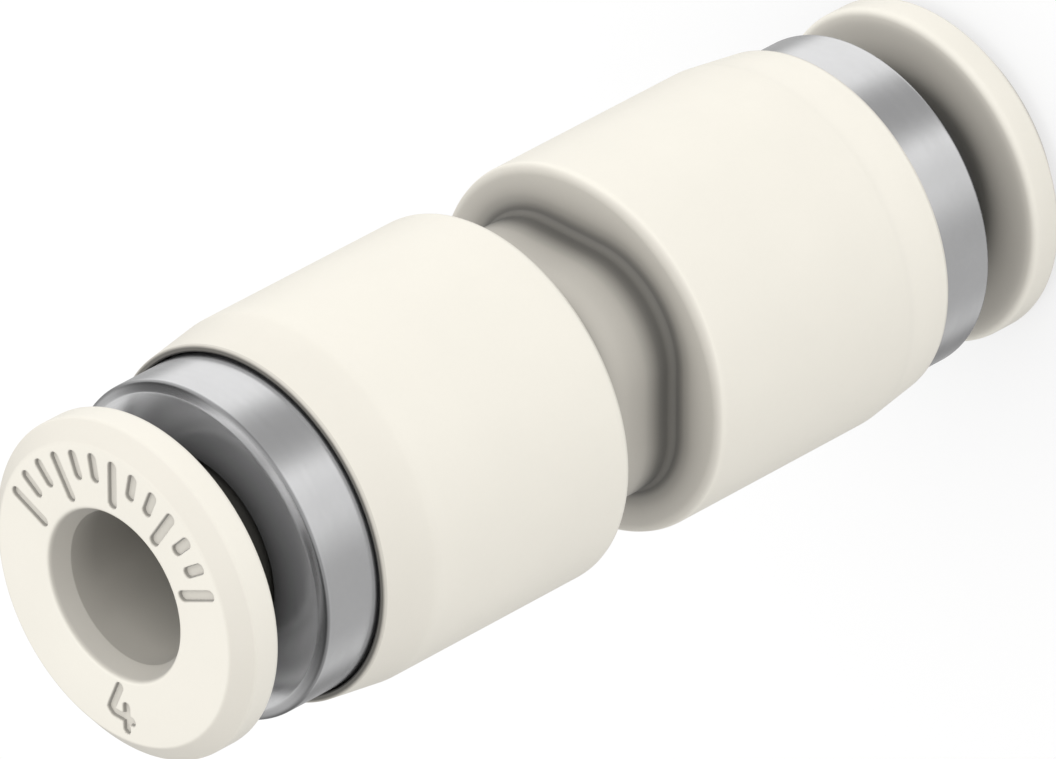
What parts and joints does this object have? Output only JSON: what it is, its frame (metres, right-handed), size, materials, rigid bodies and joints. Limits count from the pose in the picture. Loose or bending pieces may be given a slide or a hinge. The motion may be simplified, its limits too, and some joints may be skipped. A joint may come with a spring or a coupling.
{
  "type": "push-in fitting",
  "caption": "Straight push-in tube fitting: round plastic body with a rounded square waist, a metal collar and a sprung release ring at each end.",
  "frame": {"origin": "centre of the lower release ring's flat face, on which the fitting stands", "axes": "+Z along the fitting's axis, towards the upper end; X and Y across the flats of the waist"},
  "size_m": [0.01, 0.01, 0.0293],
  "materials": {
    "body_plastic": "satin moulded",
    "ring_plastic": "satin moulded",
    "collar_metal": "satin nickel plated",
    "claw_steel": "stamped",
    "inner_plastic": "moulded",
    "seal_rubber": "matt"
  },
  "bodies": {
    "housing": {"body": "body_plastic", "upper_collar": "collar_metal", "upper_claw": "claw_steel", "upper_support_ring": "inner_plastic", "upper_seal": "seal_rubber", "lower_collar": "collar_metal", "lower_claw": "claw_steel", "lower_support_ring": "inner_plastic", "lower_seal": "seal_rubber"},
    "upper_ring": {"upper_release_ring": "ring_plastic"},
    "lower_ring": {"lower_release_ring": "ring_plastic"}
  },
  "joints": [
    {"name": "upper_ring_push", "type": "slide", "parent": "housing", "child": "upper_ring", "axis": [0, 0, -1], "range_m": [0, 0.0015], "stiffness_N_per_m": 1000, "deforming": ["upper_claw"]},
    {"name": "lower_ring_push", "type": "slide", "parent": "housing", "child": "lower_ring", "axis": [0, 0, 1], "range_m": [0, 0.0015], "stiffness_N_per_m": 1000, "deforming": ["lower_claw"]}
  ]
}
